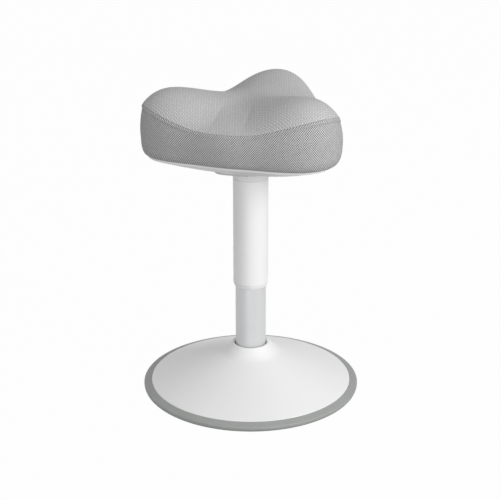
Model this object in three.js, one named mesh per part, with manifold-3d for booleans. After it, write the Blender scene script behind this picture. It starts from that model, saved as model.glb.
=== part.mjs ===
// Perch stool: a round weighted foot, a gas lift column under a white sleeve, and a saddle seat
// with three lobes. Millimetres, +Z up, the floor at z = 0 and the column on the Z axis.
// The high lobe, the horn, points along +Y and the seat is mirrored about the plane x = 0.
import * as THREE from "three";
import { mergeVertices } from "three/addons/utils/BufferGeometryUtils.js";
import Module from "manifold-3d";

const wasm = await Module();
wasm.setup();

// Clearances
const seatGap = 0.3; // between two pieces that rest on each other or fit into each other
const slideGap = 0.4; // round a piece that slides or turns in another
const overrun = 6; // how far a cutting shape runs past the face that it cuts
const weldDistance = 0.001; // points closer than this are one

// Facets
const footSides = 60;
const columnSides = 32;
const smallSides = 12;
const planSteps = 60;
const curveSteps = 5;

// Foot
const footRadius = 179.5;
const ringWidth = 12.5; // the sloping rubber band outside the cover
const ringHeight = 13.7;
const ringLedgeWidth = 7.5; // rubber under the cover's edge
const ringCurl = 7.5; // how far the rubber rolls in towards the floor
const ringBevel = 1;
const curlShare = 0.75; // of the height of the rubber's widest part, where its curl ends
const ringBandDrop = 4; // fall of the rubber band from the cover to its widest part
const padThickness = 3;
const weightThickness = 8;
const coverWall = 2.5;
const coverEdgeDepth = 5;
const coneAngle = THREE.MathUtils.degToRad(21.5);
const neckGap = 1.2; // the dark line between the neck and the tube
const neckAngle = THREE.MathUtils.degToRad(48);
const neckReach = 12.1; // across the steep part of the neck, below its rim
const flareRun = 8.2; // across the cone's bend up into the neck
const rimRoll = 3.2; // radius of the neck's rounded rim

// Column socket, bolted to the weight
const socketFlangeRadius = 60;
const socketFlangeThickness = 6;
const socketWall = 3.7;
const socketHeight = 36;
const socketPitchRadius = 45;
const socketBoltCount = 3;
const socketBoltRadius = 3;
const socketBoltHeadRadius = 5;
const socketBoltHeadHeight = 4;
const socketBoltReach = 12; // of the shank below the head

// Column tube and what stands in its foot
const tubeRadius = 25;
const tubeWall = 2;
const endPlateThickness = 4;
const raceRadius = 14;
const raceThickness = 1.5;
const ballRadius = 1.5;
const ballCount = 9;
const cageThickness = 1.2;
const bumpRadius = 12;
const bumpHeight = 12;

// Piston rod
const rodRadius = 5;
const rodGrooveRadius = 4;
const rodTail = 2.4; // rod left below its clip
const rodShoulderRadius = 8;
const rodShoulderHeight = 3;
const clipRadius = 8.5;
const clipThickness = 1.8;
const socketHoleRadius = 10;
const pistonHeight = 10;
const pistonWait = 1.5; // left between the piston and the gland at full height
const rodTipRadius = 4;
const rodTipHeight = 1.5;

// Lift and sleeve
const stroke = 95;
const sleeveRest = 7.4; // left between the neck and the sleeve at the lowest seat
const sleeveRadius = 28.4;
const sleeveWall = 1.6;
const sleeveLength = 182.2;
const endRingTaper = 1.8;
const endRingTaperHeight = 6;
const endRingTongue = 14; // of the end ring up inside the sleeve
const neckRingHeight = 10;
const neckRingFlare = 1.5;
const neckRingTongue = 10; // of the top ring down inside the sleeve
const neckRingTongueWall = 4;
const tubeOverlap = 70; // of the tube in the sleeve at full height

// Bush and gas cylinder
const bushLength = 60;
const bushFlangeHeight = 2;
const bushFlangeInset = 0.5;
const cylinderRadius = 14;
const cylinderWall = 3;
const cylinderTail = 8; // of the cylinder below the bush at full height
const glandHeight = 10;
const glandInset = 1;
const taperLength = 30;
const taperDraw = 0.8;
const cylinderRise = 31.4; // of the cylinder's top above the tray's underside
const valveBlock = 18;
const valveRadius = 4;
const valveRise = 5.5; // of the valve pin above the cylinder
const valveLength = 12.3;
const valveChamfer = 1.5;
const valveTravel = 4;

// Seat tray
const rimInset = 14; // from the cushion's side to the tray's lip
const trayDepth = 35.4;
const trayWall = 2;
const trayLipHeight = 3;
const trayLipWall = 2.5;
const trayFlatRadius = 30;
const trayCollarHeight = 3; // of the collar round the column, below the dish
const trayHoleRadius = 20;
const trayBend = 1.38; // how the dish curves from its flat middle to its lip
const trayScrewInset = 48.5; // from the tray's lip, under each lobe
const trayBossRadius = 7;
const trayScrewRadius = 1.8;
const trayScrewHeadRadius = 4.5;
const trayScrewHeadHeight = 1.8;
const trayScrewLength = 20;

// Seat board
const boardThickness = 12;
const boardDrop = 0.6; // of the board into the tray's lip
const boardWellRadius = 18; // cleared round the valve pin

// Seat hub
const hubPlateRadius = 62;
const hubPlateThickness = 4;
const hubSocketRadius = 19;
const hubSocketDrop = 8; // of the taper socket below the tray's flat middle
const hubPitchRadius = 48;
const hubBoltCount = 4;
const hubBoltRadius = 2.9;
const hubBoltHeadRadius = 5;
const hubBoltHeadHeight = 3.6;
const hubBoltReach = 13;
const teeFlangeRadius = 9;
const teeFlangeThickness = 1.2;
const teeBarrelWall = 1.3;
const teeLength = 8.7;
const earThickness = 3;
const earLength = 12;
const earDepth = 13.5;

// Release lever, under the left lobe
const leverTurn = THREE.MathUtils.degToRad(-120);
const leverPivotReach = 37;
const leverPivotDrop = 12.5; // from the board to the pivot
const leverPinRadius = 2;
const leverPinRivet = 1; // of the pin outside each ear
const leverBossRadius = 5;
const leverWebLength = 8;
const leverWebWidth = 9;
const leverTail = 5; // of the finger past the valve pin
const leverFingerThickness = 4;
const leverTravel = THREE.MathUtils.degToRad(6);
const paddleReach = 62;
const paddleWidth = 72;
const paddleRoot = 10; // reach of the two horns that end beside the column
const paddleThickness = 6.5;
const paddleRise = 0.8; // of the horns above the tray's flat middle
const paddleTilt = THREE.MathUtils.degToRad(7.2);
const paddleCorner = 14;
const windowGap = 1.5; // round the paddle in the tray
const windowRim = 0.6; // of the tray left between its collar and the window
const slotGap = 3; // round the lever in the hub's plate

// Cushion
const lobeReach = 172.5;
const valleyReach = 129;
const flankDraw = 4.8; // how far the sides pull in between lobe and valley
const cushionFoot = 24; // height over which the lower edge rounds in
const lobeSeamHeight = 81.3; // above the tray's lip
const valleySeamHeight = 53.7;
const flankSeamDraw = 3.2;
const centreHeight = 90.7;
const lobeCrown = 18;
const hornCrown = 3.5; // more crown on the horn
const sideValleyCrown = 2.5;
const seamPinch = 1.2;
const bandBulge = 1.2;
const recessShare = 0.94; // of the board's plan where the recess over it is flat
const crownPower = 2.6; // how late the crown rises on its way out from the centre
const sideValleyShare = 2 / 3; // of the way round to the horn's line, at the side valleys

// Heights worked out from the sizes above
const weightLow = padThickness + seatGap;
const weightTop = weightLow + weightThickness;
const flangeLow = weightTop + seatGap;
const flangeTop = flangeLow + socketFlangeThickness;
const tubeLow = flangeTop + seatGap;
const coverRadius = footRadius - ringWidth;
const neckRimReach = tubeRadius + neckGap + rimRoll; // of the rounded rim's middle
const rimLean = Math.PI / 2 - neckAngle; // where the rim meets the neck
const bendRadius = neckRimReach + rimRoll * Math.cos(rimLean) + neckReach;
const bendHeight = ringHeight + (coverRadius - bendRadius) * Math.tan(coneAngle);
const rimHeight = bendHeight + neckReach * Math.tan(neckAngle) - rimRoll * Math.sin(rimLean);
const lipHeight = rimHeight + rimRoll;
const sleeveLow = lipHeight + sleeveRest + stroke;
const sleeveTop = sleeveLow + sleeveLength;
const tubeTop = sleeveLow + tubeOverlap;
const bushLow = tubeTop - bushLength;
const cylinderLow = bushLow - cylinderTail;
const glandLow = cylinderLow + glandInset;
const pistonLow = glandLow + glandHeight + pistonWait;
const pistonTop = pistonLow + pistonHeight;
const trayLow = sleeveTop + neckRingHeight;
const lipTop = trayLow + trayDepth;
const trayScrewReach = lobeReach - rimInset - trayScrewInset;
const boardLow = lipTop - boardDrop;
const boardTop = boardLow + boardThickness;
const plateTop = boardLow - seatGap;
const plateLow = plateTop - hubPlateThickness;
const cylinderTop = trayLow + cylinderRise;
const valveTop = cylinderTop + valveRise;
const fingerLow = valveTop + seatGap;
const pivotHeight = boardLow - leverPivotDrop;
const paddleLow = trayLow + paddleRise;
const paddleTop = paddleLow + paddleThickness;
const paddleArc = trayFlatRadius + windowRim + windowGap; // round the collar
const windowSwing = (pivotHeight - paddleTop) * Math.sin(leverTravel); // as the paddle lifts

// Finishes
const finishes = {
  whitePaint: { color: 0xf2f2f0, roughness: 0.35, metalness: 0 },
  whitePlastic: { color: 0xf0f0ee, roughness: 0.45, metalness: 0 },
  greyRubber: { color: 0x8a8b89, roughness: 0.75, metalness: 0 },
  darkRubber: { color: 0x2b2c2d, roughness: 0.8, metalness: 0 },
  silverTube: { color: 0xc9cacb, roughness: 0.35, metalness: 0.6 },
  steel: { color: 0xa6a8aa, roughness: 0.35, metalness: 0.9 },
  brightSteel: { color: 0xd3d5d6, roughness: 0.18, metalness: 1 },
  castIron: { color: 0x4a4b4d, roughness: 0.7, metalness: 0.5 },
  blackPlastic: { color: 0x2a2a2c, roughness: 0.5, metalness: 0 },
  plywood: { color: 0xcfae7d, roughness: 0.7, metalness: 0 },
  weave: { color: 0xb3b4b4, roughness: 0.95, metalness: 0 },
};

const stool = new THREE.Group();
stool.name = "perch_stool";

function addPiece(name, geometry, finish) {
  const mesh = new THREE.Mesh(geometry, new THREE.MeshStandardMaterial(finishes[finish]));
  mesh.name = name;
  stool.add(mesh);
  return mesh;
}

// A manifold-3d solid of a closed three.js geometry
function solidOf(geometry) {
  const bare = new THREE.BufferGeometry();
  bare.setAttribute("position", geometry.getAttribute("position"));
  bare.setIndex(geometry.getIndex());
  const merged = mergeVertices(bare, weldDistance);
  const mesh = new wasm.Mesh({
    numProp: 3,
    vertProperties: new Float32Array(merged.attributes.position.array),
    triVerts: new Uint32Array(merged.index.array),
  });
  return new wasm.Manifold(mesh);
}

function geometryOf(solid) {
  const mesh = solid.getMesh();
  const geometry = new THREE.BufferGeometry();
  geometry.setAttribute("position", new THREE.BufferAttribute(mesh.vertProperties, mesh.numProp));
  geometry.setIndex(new THREE.BufferAttribute(mesh.triVerts, 1));
  const flat = geometry.toNonIndexed();
  flat.computeVertexNormals();
  return flat;
}

// The base geometry with some geometries joined on and others cut away
function shaped(base, { joined = [], cut = [] }) {
  let solid = solidOf(base);
  for (const more of joined) solid = solid.add(solidOf(more));
  for (const tool of cut) solid = solid.subtract(solidOf(tool));
  return geometryOf(solid);
}

// An outline of [radius, height] points, running anticlockwise, turned about the Z axis
function turned(outline, sides) {
  const points = outline.map(([radius, height]) => new THREE.Vector2(radius, height));
  if (outline[0][0] > 0) points.push(points[0].clone());
  return new THREE.LatheGeometry(points, sides).rotateX(Math.PI / 2);
}

function disc(radius, low, high, sides = columnSides) {
  return turned([[0, low], [radius, low], [radius, high], [0, high]], sides);
}

function washer(bore, radius, low, high, sides = columnSides) {
  return turned([[bore, low], [radius, low], [radius, high], [bore, high]], sides);
}

function block(low, high) {
  const size = new THREE.Vector3().subVectors(high, low);
  const centre = new THREE.Vector3().addVectors(low, high).multiplyScalar(1 / 2);
  return new THREE.BoxGeometry(size.x, size.y, size.z).translate(centre.x, centre.y, centre.z);
}

// A screw that points up from its head, whose upper face is at the given seat
function screwUp(head, shankRadius, reach, seat) {
  const outline = [
    [0, seat - head.height],
    [(head.radius * 4) / 5, seat - head.height],
    [head.radius, seat - head.height / 2],
    [head.radius, seat],
    [shankRadius, seat],
    [shankRadius, seat + reach],
    [0, seat + reach],
  ];
  return turned(outline, smallSides);
}

// Places round the column, measured from +Y towards +X
function placeAt(reach, turn) {
  return new THREE.Vector2(reach * Math.sin(turn), reach * Math.cos(turn));
}

function movedTo(geometry, reach, turn) {
  const place = placeAt(reach, turn);
  return geometry.clone().translate(place.x, place.y, 0);
}

function turnsOf(count, first = 0) {
  return Array.from({ length: count }, (_, i) => first + (i * 2 * Math.PI) / count);
}

// Foot

const plateRadius = coverRadius - ringLedgeWidth - seatGap;

function baseRing() {
  const inner = coverRadius - ringLedgeWidth;
  const wall = coverRadius + seatGap;
  const ledge = ringHeight - coverEdgeDepth - seatGap;
  const widest = ringHeight - ringBandDrop - seatGap;
  const outline = [[inner, 0], [footRadius - ringCurl, 0]];
  for (let i = 1; i <= curveSteps; i++) {
    const bend = (i / curveSteps) * (Math.PI / 2);
    const radius = footRadius - ringCurl * (1 - Math.sin(bend));
    outline.push([radius, curlShare * widest * (1 - Math.cos(bend))]);
  }
  outline.push([footRadius - ringBevel, widest], [wall, ringHeight]);
  outline.push([wall, ledge], [inner, ledge]);
  return turned(outline, footSides);
}

// A point of the neck's rounded rim, turned up from straight outwards
function rimPoint(turn) {
  return new THREE.Vector2(neckRimReach + rimRoll * Math.cos(turn), rimHeight + rimRoll * Math.sin(turn));
}

// The cover's outer line, from its lower edge up the cone and the neck to the rim
function coverLine() {
  const points = [
    new THREE.Vector2(coverRadius, ringHeight - coverEdgeDepth),
    new THREE.Vector2(coverRadius, ringHeight - coverWall / 2),
    new THREE.Vector2(coverRadius - coverWall / 3, ringHeight),
  ];
  const flare = new THREE.QuadraticBezierCurve(
    new THREE.Vector2(bendRadius + flareRun, bendHeight - flareRun * Math.tan(coneAngle)),
    new THREE.Vector2(bendRadius, bendHeight),
    rimPoint(rimLean),
  );
  return points.concat(flare.getPoints(curveSteps));
}

// The same line moved in by a wall, point by point along its normals
function insetLine(points, wall) {
  return points.map((point, i) => {
    const before = points[Math.max(i - 1, 0)];
    const after = points[Math.min(i + 1, points.length - 1)];
    const along = new THREE.Vector2().subVectors(after, before).normalize();
    return new THREE.Vector2(point.x - along.y * wall, point.y + along.x * wall);
  });
}

function baseCover() {
  const outer = coverLine();
  const inner = insetLine(outer, coverWall).filter((point) => point.y < rimHeight - rimRoll);
  const rimEnd = (3 * Math.PI) / 2;
  const rim = [];
  for (let i = 1; i <= curveSteps; i++) {
    rim.push(rimPoint(rimLean + (i / curveSteps) * (rimEnd - rimLean)));
  }
  const outline = [...outer, ...rim, ...inner.reverse()];
  return turned(outline.map((point) => [point.x, point.y]), footSides);
}

function baseWeight() {
  const hole = disc(socketBoltRadius + seatGap, 0, weightTop + overrun, smallSides);
  const holes = turnsOf(socketBoltCount).map((turn) => movedTo(hole, socketPitchRadius, turn));
  return shaped(disc(plateRadius, weightLow, weightTop, footSides), { cut: holes });
}

function columnSocket() {
  const bore = tubeRadius + seatGap;
  const outline = [
    [socketHoleRadius, flangeLow],
    [socketFlangeRadius, flangeLow],
    [socketFlangeRadius, flangeTop],
    [bore + socketWall, flangeTop],
    [bore + socketWall, flangeLow + socketHeight],
    [bore, flangeLow + socketHeight],
    [bore, flangeTop],
    [socketHoleRadius, flangeTop],
  ];
  const hole = disc(socketBoltRadius + seatGap, flangeLow - overrun, flangeTop + overrun, smallSides);
  const holes = turnsOf(socketBoltCount).map((turn) => movedTo(hole, socketPitchRadius, turn));
  return shaped(turned(outline, columnSides), { cut: holes });
}

function socketBolt() {
  const seat = flangeTop + seatGap;
  const outline = [
    [0, seat - socketBoltReach],
    [socketBoltRadius, seat - socketBoltReach],
    [socketBoltRadius, seat],
    [socketBoltHeadRadius, seat],
    [socketBoltHeadRadius, seat + socketBoltHeadHeight],
    [0, seat + socketBoltHeadHeight],
  ];
  return turned(outline, smallSides);
}

addPiece("floor_pad", disc(plateRadius, 0, padThickness, footSides), "darkRubber");
addPiece("base_ring", baseRing(), "greyRubber");
addPiece("base_weight", baseWeight(), "castIron");
addPiece("base_cover", baseCover(), "whitePaint");
addPiece("column_socket", columnSocket(), "steel");
turnsOf(socketBoltCount).forEach((turn, i) => {
  addPiece(`socket_bolt_${i + 1}`, movedTo(socketBolt(), socketPitchRadius, turn), "steel");
});

// Column tube, with the bearing that the piston rod turns on

const tubeBore = tubeRadius - tubeWall;
const endPlateTop = tubeLow + endPlateThickness;
const lowerRaceLow = endPlateTop + seatGap;
const cageLow = lowerRaceLow + raceThickness + seatGap;
const upperRaceLow = cageLow + 2 * ballRadius + seatGap;
const shoulderLow = upperRaceLow + raceThickness + seatGap;
const shoulderTop = shoulderLow + rodShoulderHeight;
const raceBore = rodRadius + slideGap;
const clipTop = tubeLow - seatGap;
const clipLow = clipTop - clipThickness;
const rodLow = clipLow - rodTail;

function race(low) {
  return washer(raceBore, raceRadius, low, low + raceThickness);
}

function ballCage() {
  const middle = cageLow + ballRadius;
  const pitch = (raceBore + raceRadius) / 2;
  const half = cageThickness / 2;
  const ring = washer(pitch - ballRadius, pitch + ballRadius, middle - half, middle + half);
  const ball = new THREE.SphereGeometry(ballRadius, 6, 4).rotateX(Math.PI / 2).translate(0, 0, middle);
  return shaped(ring, { joined: turnsOf(ballCount).map((turn) => movedTo(ball, pitch, turn)) });
}

function pistonRod() {
  return turned(
    [
      [0, rodLow],
      [rodRadius, rodLow],
      [rodRadius, clipLow - seatGap],
      [rodGrooveRadius, clipLow - seatGap],
      [rodGrooveRadius, clipTop + seatGap],
      [rodRadius, clipTop + seatGap],
      [rodRadius, shoulderLow],
      [rodShoulderRadius, shoulderLow],
      [rodShoulderRadius, shoulderTop],
      [rodRadius, shoulderTop],
      [rodRadius, pistonLow - seatGap],
      [rodTipRadius, pistonLow - seatGap],
      [rodTipRadius, pistonTop + rodTipHeight],
      [0, pistonTop + rodTipHeight],
    ],
    2 * smallSides,
  );
}

const clipBore = rodGrooveRadius + seatGap;
const bumpLow = shoulderTop + seatGap;

addPiece("column_tube", washer(tubeBore, tubeRadius, tubeLow, tubeTop), "silverTube");
addPiece("tube_end_plate", washer(raceBore, tubeBore - seatGap, tubeLow, endPlateTop), "steel");
addPiece("lower_race", race(lowerRaceLow), "brightSteel");
addPiece("ball_cage", ballCage(), "brightSteel");
addPiece("upper_race", race(upperRaceLow), "brightSteel");
addPiece("retaining_clip", washer(clipBore, clipRadius, clipLow, clipTop), "steel");
addPiece("piston_rod", pistonRod(), "brightSteel");
addPiece("bump_stop", washer(rodRadius + seatGap, bumpRadius, bumpLow, bumpLow + bumpHeight), "darkRubber");

// Bush, gas cylinder and the pieces inside it

const cylinderBore = cylinderRadius - cylinderWall;

function guideBush() {
  const bore = cylinderRadius + slideGap;
  const flange = tubeRadius - bushFlangeInset;
  const flangeFoot = tubeTop + seatGap;
  return turned(
    [
      [bore, bushLow],
      [tubeBore - seatGap, bushLow],
      [tubeBore - seatGap, flangeFoot],
      [flange, flangeFoot],
      [flange, flangeFoot + bushFlangeHeight],
      [bore, flangeFoot + bushFlangeHeight],
    ],
    columnSides,
  );
}

function gasCylinder() {
  const valveFloor = valveTop - valveLength - valveTravel - seatGap;
  const body = turned(
    [
      [0, cylinderLow],
      [cylinderRadius, cylinderLow],
      [cylinderRadius, cylinderTop - taperLength],
      [cylinderRadius - taperDraw, cylinderTop],
      [0, cylinderTop],
    ],
    columnSides,
  );
  const bore = disc(cylinderBore, cylinderLow - overrun, cylinderTop - valveBlock);
  const valveBore = disc(valveRadius + seatGap, valveFloor, cylinderTop + overrun, 2 * smallSides);
  return shaped(body, { cut: [bore, valveBore] });
}

const glandBore = rodRadius + slideGap;
const pistonRadius = cylinderBore - slideGap;

function valvePin() {
  const low = valveTop - valveLength;
  return turned(
    [
      [0, low],
      [valveRadius, low],
      [valveRadius, valveTop - valveChamfer],
      [valveRadius - valveChamfer, valveTop],
      [0, valveTop],
    ],
    smallSides * 2,
  );
}

addPiece("guide_bush", guideBush(), "blackPlastic");
addPiece("gas_cylinder", gasCylinder(), "steel");
const glandRadius = cylinderBore - seatGap;
addPiece("rod_gland", washer(glandBore, glandRadius, glandLow, glandLow + glandHeight), "blackPlastic");
addPiece("piston", washer(rodTipRadius + seatGap, pistonRadius, pistonLow, pistonTop), "steel");
addPiece("valve_pin", valvePin(), "brightSteel");

// Sleeve

const sleeveBore = sleeveRadius - sleeveWall;

function sleeveEndRing() {
  const bore = tubeRadius + slideGap;
  const taperTop = sleeveLow + endRingTaperHeight;
  return turned(
    [
      [bore, sleeveLow],
      [sleeveRadius - endRingTaper, sleeveLow],
      [sleeveRadius, taperTop],
      [sleeveBore - seatGap, taperTop],
      [sleeveBore - seatGap, taperTop + endRingTongue],
      [bore, taperTop + endRingTongue],
    ],
    columnSides,
  );
}

function sleeveTopRing() {
  const bore = hubSocketRadius + seatGap;
  const tongue = sleeveBore - seatGap;
  const low = sleeveTop + seatGap;
  return turned(
    [
      [tongue - neckRingTongueWall, sleeveTop - neckRingTongue],
      [tongue, sleeveTop - neckRingTongue],
      [tongue, low],
      [sleeveRadius, low],
      [sleeveRadius + neckRingFlare, trayLow - seatGap - neckRingFlare],
      [sleeveRadius + neckRingFlare, trayLow - seatGap],
      [bore, trayLow - seatGap],
      [bore, low],
      [tongue - neckRingTongueWall, low],
    ],
    columnSides,
  );
}

const sleeveFoot = sleeveLow + endRingTaperHeight + seatGap;
addPiece("sleeve", washer(sleeveBore, sleeveRadius, sleeveFoot, sleeveTop), "whitePaint");
addPiece("sleeve_end_ring", sleeveEndRing(), "whitePlastic");
addPiece("sleeve_top_ring", sleeveTopRing(), "whitePlastic");

// The seat's plan: three lobes, a third of a turn apart, with the horn at turn 0

function planReach(turn) {
  const middle = (lobeReach + valleyReach) / 2;
  const swing = (lobeReach - valleyReach) / 2;
  return middle + swing * Math.cos(3 * turn) - flankDraw * (1 - Math.cos(6 * turn));
}

function ringAt(reachOf, heightOf) {
  return turnsOf(planSteps).map((turn) => {
    const place = placeAt(reachOf(turn), turn);
    return new THREE.Vector3(place.x, place.y, heightOf(turn));
  });
}

// Joins rings of equal counts in order, from the underside outwards. Ends close on the axis
// where heights are given for them, or else the last ring joins the first.
function lofted(rings, ends) {
  const count = rings[0].length;
  const points = rings.flat();
  const faces = [];
  const spans = ends ? rings.length - 1 : rings.length;
  for (let r = 0; r < spans; r++) {
    const here = r * count;
    const next = ((r + 1) % rings.length) * count;
    for (let i = 0; i < count; i++) {
      const j = (i + 1) % count;
      faces.push(here + i, next + i, next + j, here + i, next + j, here + j);
    }
  }
  if (ends) {
    const top = (rings.length - 1) * count;
    points.push(new THREE.Vector3(0, 0, ends[0]), new THREE.Vector3(0, 0, ends[1]));
    for (let i = 0; i < count; i++) {
      const j = (i + 1) % count;
      faces.push(points.length - 2, i, j, points.length - 1, top + j, top + i);
    }
  }
  const geometry = new THREE.BufferGeometry().setFromPoints(points);
  geometry.setIndex(faces);
  geometry.computeVertexNormals();
  return geometry;
}

const lobeTurns = turnsOf(3);
const hubTurns = turnsOf(hubBoltCount, leverTurn + Math.PI / hubBoltCount); // two either side of the lever
const dishShares = [0, 0.2, 0.45, 0.72, 1]; // of the way from the collar to the lip
const rimReach = (turn) => planReach(turn) - rimInset;

// The tray's underside at a share of the way from its flat middle to its lip
function dishReach(turn, share) {
  return trayFlatRadius + (rimReach(turn) - trayFlatRadius) * share;
}

function dishHeight(share) {
  const rise = trayDepth - trayCollarHeight - trayLipHeight;
  return trayLow + trayCollarHeight + rise * share ** trayBend;
}

function screwSeatHeight() {
  const share = (trayScrewReach - trayFlatRadius) / (rimReach(0) - trayFlatRadius);
  return dishHeight(share) + trayWall + trayScrewHeadHeight / 2;
}

// A flat plate of the paddle's outline, grown by a margin, in the lever's own frame:
// X runs out from the column and Y across. Its root is hollow, to go round the tray's collar.
function paddlePlate(margin, low, high, swing = 0) {
  const root = paddleRoot - margin;
  const arc = paddleArc - margin;
  const tip = paddleReach + margin + swing;
  const half = paddleWidth / 2 + margin;
  const hollow = Math.acos(root / arc);
  const outline = new THREE.Shape();
  outline.moveTo(root, -half);
  outline.lineTo(tip - paddleCorner, -half);
  outline.quadraticCurveTo(tip, -half, tip, paddleCorner - half);
  outline.lineTo(tip, half - paddleCorner);
  outline.quadraticCurveTo(tip, half, tip - paddleCorner, half);
  outline.lineTo(root, half);
  outline.absarc(0, 0, arc, hollow, -hollow, true);
  outline.closePath();
  const plate = new THREE.ExtrudeGeometry(outline, {
    depth: high - low,
    bevelEnabled: false,
    curveSegments: curveSteps,
  });
  return plate.translate(0, 0, low);
}

// The paddle rises outwards with the tray's dish
function tiltedPaddle() {
  const plate = paddlePlate(0, 0, paddleThickness).translate(-paddleRoot, 0, 0);
  return plate.rotateY(-paddleTilt).translate(paddleRoot, 0, paddleLow);
}

// Turns a shape from the lever's own frame into the stool's
function besideLever(geometry) {
  return geometry.rotateZ(Math.PI / 2 - leverTurn);
}

function seatTray() {
  const low = dishShares.map((share) => ringAt((turn) => dishReach(turn, share), () => dishHeight(share)));
  const high = dishShares.filter((_, i) => i % 2 === 0).map((share) => {
    const wall = trayWall + (trayLipWall - trayWall) * share;
    return ringAt((turn) => dishReach(turn, share) - wall, () => dishHeight(share) + trayWall);
  });
  const hole = () => trayHoleRadius;
  const flat = () => trayFlatRadius;
  const shell = lofted([
    ringAt(hole, () => trayLow),
    ringAt(flat, () => trayLow),
    ...low,
    ringAt(rimReach, () => lipTop),
    ringAt((turn) => rimReach(turn) - trayLipWall, () => lipTop),
    ...high.reverse(),
    ringAt(() => trayFlatRadius - trayWall, () => trayLow + trayWall),
    ringAt(hole, () => trayLow + trayWall),
  ]);
  const seat = screwSeatHeight();
  const boss = disc(trayBossRadius, seat - trayScrewHeadHeight, boardLow - seatGap, smallSides);
  const pocket = disc(trayScrewHeadRadius + seatGap, trayLow, seat + seatGap, smallSides);
  const hollow = disc(trayScrewRadius + seatGap, trayLow, boardTop, smallSides);
  const place = (tool) => lobeTurns.map((turn) => movedTo(tool, trayScrewReach, turn));
  const window = besideLever(
    paddlePlate(windowGap, trayLow - overrun, trayLow + trayDepth / 2, windowSwing),
  );
  return shaped(shell, { joined: place(boss), cut: [...place(pocket), ...place(hollow), window] });
}

// A slot for the lever, grown by its gap all round
function leverSlot(from, to, low, high) {
  const half = leverWebWidth / 2 + slotGap;
  const start = new THREE.Vector3(from - slotGap, -half, low);
  return besideLever(block(start, new THREE.Vector3(to + slotGap, half, high)));
}

const webFrom = leverPivotReach - leverWebLength / 2;
const webTo = leverPivotReach + leverWebLength / 2;

function seatBoard() {
  const edge = (turn) => rimReach(turn) - trayLipWall - seatGap;
  const plate = lofted([ringAt(edge, () => boardLow), ringAt(edge, () => boardTop)], [boardLow, boardTop]);
  const under = boardLow - overrun;
  const over = boardTop + overrun;
  const barrelHole = disc(hubBoltRadius + teeBarrelWall + 2 * seatGap, under, boardTop, smallSides);
  const flangeFloor = boardTop - teeFlangeThickness - 2 * seatGap;
  const flangeHole = disc(teeFlangeRadius + seatGap, flangeFloor, over, 2 * smallSides);
  const screwHole = disc(trayScrewRadius + seatGap, under, over, smallSides);
  return shaped(plate, {
    cut: [
      ...hubTurns.map((turn) => movedTo(barrelHole, hubPitchRadius, turn)),
      ...hubTurns.map((turn) => movedTo(flangeHole, hubPitchRadius, turn)),
      ...lobeTurns.map((turn) => movedTo(screwHole, trayScrewReach, turn)),
      leverSlot(-leverTail, webTo, under, over),
      disc(boardWellRadius, under, over),
    ],
  });
}

addPiece("seat_tray", seatTray(), "whitePlastic");
addPiece("seat_board", seatBoard(), "plywood");
lobeTurns.forEach((turn, i) => {
  const head = { radius: trayScrewHeadRadius, height: trayScrewHeadHeight };
  const screw = screwUp(head, trayScrewRadius, trayScrewLength, screwSeatHeight());
  addPiece(`tray_screw_${i + 1}`, movedTo(screw, trayScrewReach, turn), "steel");
});

// Seat hub: a plate bolted up under the board, with the taper socket and the lever's two ears

const earInside = leverWebWidth / 2 + slotGap;

// A round bar along the lever's pivot, in the stool's frame
function pivotRod(radius, half, sides = smallSides) {
  const bar = new THREE.CylinderGeometry(radius, radius, 2 * half, sides);
  return besideLever(bar.translate(leverPivotReach, 0, pivotHeight));
}

function seatHub() {
  const socketLow = trayLow - hubSocketDrop;
  const body = turned(
    [
      [0, socketLow],
      [hubSocketRadius, socketLow],
      [hubSocketRadius, plateLow],
      [hubPlateRadius, plateLow],
      [hubPlateRadius, plateTop],
      [0, plateTop],
    ],
    columnSides,
  );
  const wide = cylinderRadius + seatGap;
  const taper = turned(
    [
      [0, socketLow - overrun],
      [wide, socketLow - overrun],
      [wide, cylinderTop - taperLength],
      [wide - taperDraw, cylinderTop],
      [wide - taperDraw, plateTop + overrun],
      [0, plateTop + overrun],
    ],
    columnSides,
  );
  const ears = [earInside, -earInside - earThickness].map((near) => {
    const low = new THREE.Vector3(leverPivotReach - earLength / 2, near, plateLow - earDepth);
    const high = new THREE.Vector3(leverPivotReach + earLength / 2, near + earThickness, plateTop);
    return besideLever(block(low, high));
  });
  const pinHole = pivotRod(leverPinRadius + seatGap, earInside + earThickness + overrun);
  const slot = leverSlot(webFrom, webTo, plateLow - overrun, plateTop + overrun);
  const hole = disc(hubBoltRadius + seatGap, plateLow - overrun, plateTop + overrun, smallSides);
  const holes = hubTurns.map((turn) => movedTo(hole, hubPitchRadius, turn));
  return shaped(body, { joined: ears, cut: [taper, pinHole, slot, ...holes] });
}

function teeNut() {
  const bore = hubBoltRadius + seatGap;
  const top = boardTop - seatGap;
  return turned(
    [
      [bore, top - teeLength],
      [bore + teeBarrelWall, top - teeLength],
      [bore + teeBarrelWall, top - teeFlangeThickness],
      [teeFlangeRadius, top - teeFlangeThickness],
      [teeFlangeRadius, top],
      [bore, top],
    ],
    smallSides,
  );
}

addPiece("seat_hub", seatHub(), "steel");
hubTurns.forEach((turn, i) => {
  const head = { radius: hubBoltHeadRadius, height: hubBoltHeadHeight };
  const bolt = screwUp(head, hubBoltRadius, hubBoltReach, plateLow - seatGap);
  addPiece(`hub_bolt_${i + 1}`, movedTo(bolt, hubPitchRadius, turn), "steel");
  addPiece(`tee_nut_${i + 1}`, movedTo(teeNut(), hubPitchRadius, turn), "steel");
});

// Release lever and its pin

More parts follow.
